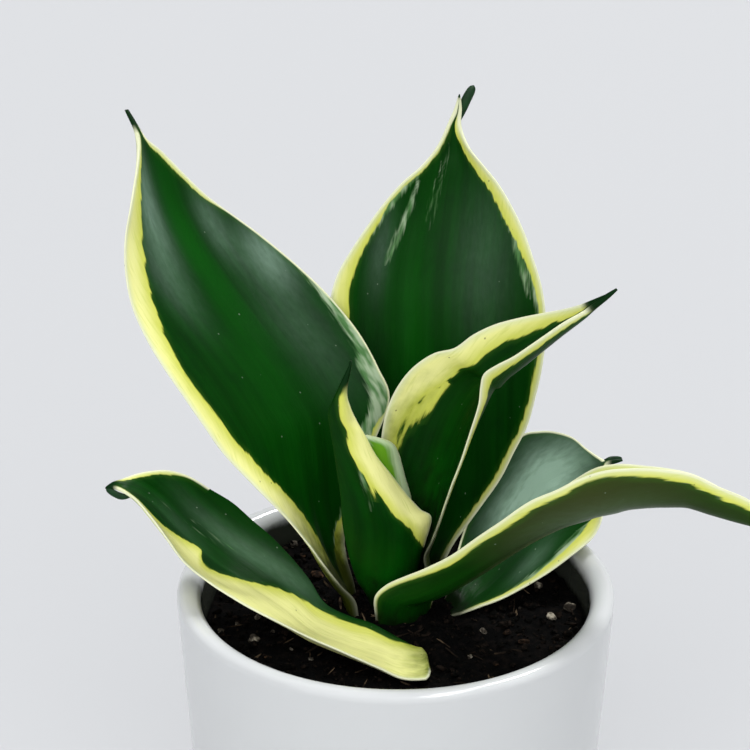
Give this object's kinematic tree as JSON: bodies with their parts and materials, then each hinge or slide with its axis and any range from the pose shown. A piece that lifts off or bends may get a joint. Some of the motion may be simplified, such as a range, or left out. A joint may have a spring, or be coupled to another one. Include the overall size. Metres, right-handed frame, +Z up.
{
  "type": "potted snake plant",
  "caption": "Low rosette of broad, cupped, yellow-edged dark green leaves with hard pointed tips, rooted in dark mix in a plain round white ceramic pot.",
  "frame": {"origin": "centre of the pot's flat underside", "axes": "+Z up, +X to the right of the plant, -Y its front"},
  "size_m": [0.1854, 0.12, 0.2342],
  "materials": {
    "glaze": "smooth white glaze, soft sheen",
    "potting_mix": "moist, dark, crumbly peat mix, fully rough",
    "leaf": "waxy satin, dark green with a yellow margin",
    "perlite": "chalky and stained, matte",
    "bark": "dull brown, matte"
  },
  "bodies": {
    "root": {"pot": "glaze", "potting_mix": "potting_mix", "leaf_left_tall": "leaf", "leaf_back_tall": "leaf", "leaf_right_folded": "leaf", "leaf_inner_front": "leaf", "leaf_innermost": "leaf", "leaf_right_arching": "leaf", "leaf_right_back": "leaf", "leaf_front_low": "leaf", "perlite_chip_01": "perlite", "perlite_chip_02": "perlite", "perlite_chip_03": "perlite", "perlite_chip_04": "perlite", "perlite_chip_05": "perlite", "perlite_chip_06": "perlite", "perlite_chip_07": "perlite", "perlite_chip_08": "perlite", "perlite_chip_09": "perlite", "perlite_chip_10": "perlite", "perlite_chip_11": "perlite", "perlite_chip_12": "perlite", "perlite_chip_13": "perlite", "perlite_chip_14": "perlite", "perlite_chip_15": "perlite", "perlite_chip_16": "perlite", "bark_chip_01": "bark", "bark_chip_02": "bark", "bark_chip_03": "bark", "bark_chip_04": "bark", "bark_chip_05": "bark", "bark_chip_06": "bark", "bark_chip_07": "bark", "bark_chip_08": "bark", "bark_chip_09": "bark", "bark_chip_10": "bark", "bark_chip_11": "bark", "bark_chip_12": "bark"}
  },
  "joints": []
}
